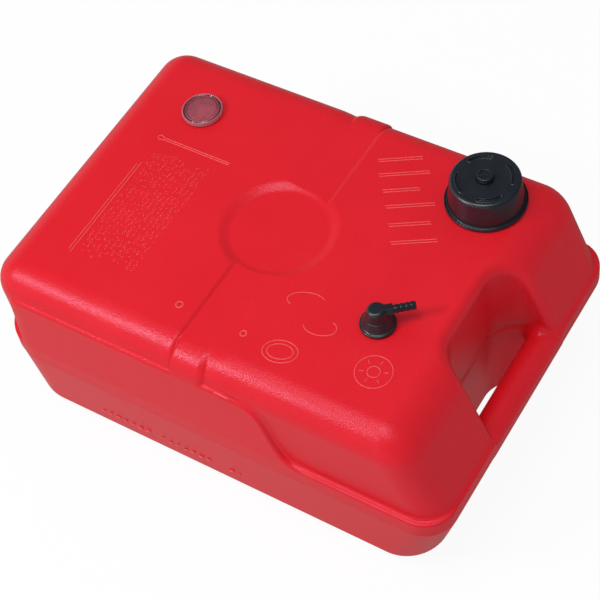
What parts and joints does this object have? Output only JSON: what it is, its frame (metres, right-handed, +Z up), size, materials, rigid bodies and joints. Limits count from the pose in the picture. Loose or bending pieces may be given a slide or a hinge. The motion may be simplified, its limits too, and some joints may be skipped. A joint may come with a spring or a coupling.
{
  "type": "outboard_fuel_tank",
  "caption": "Portable red moulded fuel tank with a grip at one end, a screw cap with a vent, a swivelling hose outlet and a float gauge",
  "frame": {"origin": "on the ground under the middle of the tank's outline", "axes": "+X along the tank to the end with the grip, +Y across the tank to the side with the filler cap, +Z up"},
  "size_m": [0.51, 0.36, 0.2476],
  "materials": {
    "tank_red": "blow-moulded polyethylene, satin with a fine grain",
    "cap_black": "moulded, satin",
    "fitting_black": "moulded, satin",
    "gauge_black": "moulded",
    "rubber": "fuel-proof rubber",
    "steel": "stainless, drawn",
    "clear": "clear, polished",
    "dial": "printed disc with plain ticks",
    "pointer": "moulded",
    "float_foam": "closed-cell foam"
  },
  "bodies": {
    "tank": {"tank_body": "tank_red", "outlet_base": "fitting_black", "outlet_gasket": "rubber", "dip_tube": "fitting_black", "dip_strainer": "fitting_black", "strainer_cap": "fitting_black", "gauge_body": "gauge_black", "gauge_gasket": "rubber", "gauge_rails": "steel", "gauge_foot": "gauge_black", "gauge_dial": "dial", "gauge_lens": "clear", "gauge_bezel": "clear", "gauge_lens_seal": "rubber"},
    "cap_core": {"cap_gasket": "rubber", "cap_liner": "cap_black"},
    "cap": {"cap_shell": "cap_black"},
    "vent": {"vent_screw": "cap_black", "vent_seal": "rubber", "vent_clip": "steel"},
    "swivel": {"swivel_elbow": "fitting_black", "swivel_seal": "rubber"},
    "float": {"gauge_float": "float_foam"},
    "indicator": {"gauge_strip": "steel", "gauge_pointer": "pointer"}
  },
  "joints": [
    {"name": "cap_lift", "type": "slide", "parent": "tank", "child": "cap_core", "axis": [0, 0, 1], "range_m": [0, 0.06]},
    {"name": "cap_turn", "type": "hinge", "parent": "cap_core", "child": "cap", "pos_m": [0.152, 0.116, 0.2093], "axis": [0, 0, 1], "range_deg": [0, 576]},
    {"name": "vent_turn", "type": "hinge", "parent": "cap", "child": "vent", "pos_m": [0.152, 0.116, 0.2426], "axis": [0, 0, 1], "range_deg": [0, 360]},
    {"name": "outlet_swivel", "type": "hinge", "parent": "tank", "child": "swivel", "pos_m": [0.1305, -0.056, 0.2229], "axis": [0, 0, 1], "continuous": true},
    {"name": "float_rise", "type": "slide", "parent": "tank", "child": "float", "axis": [0, 0, 1], "range_m": [0, 0.162]},
    {"name": "pointer_turn", "type": "hinge", "parent": "tank", "child": "indicator", "pos_m": [-0.16, 0.0945, 0.2], "axis": [0, 0, 1], "range_deg": [-265, 0]}
  ],
  "couplings": [
    {"joint": "pointer_turn", "follows": "float_rise", "rad_per_m": -28.515}
  ]
}
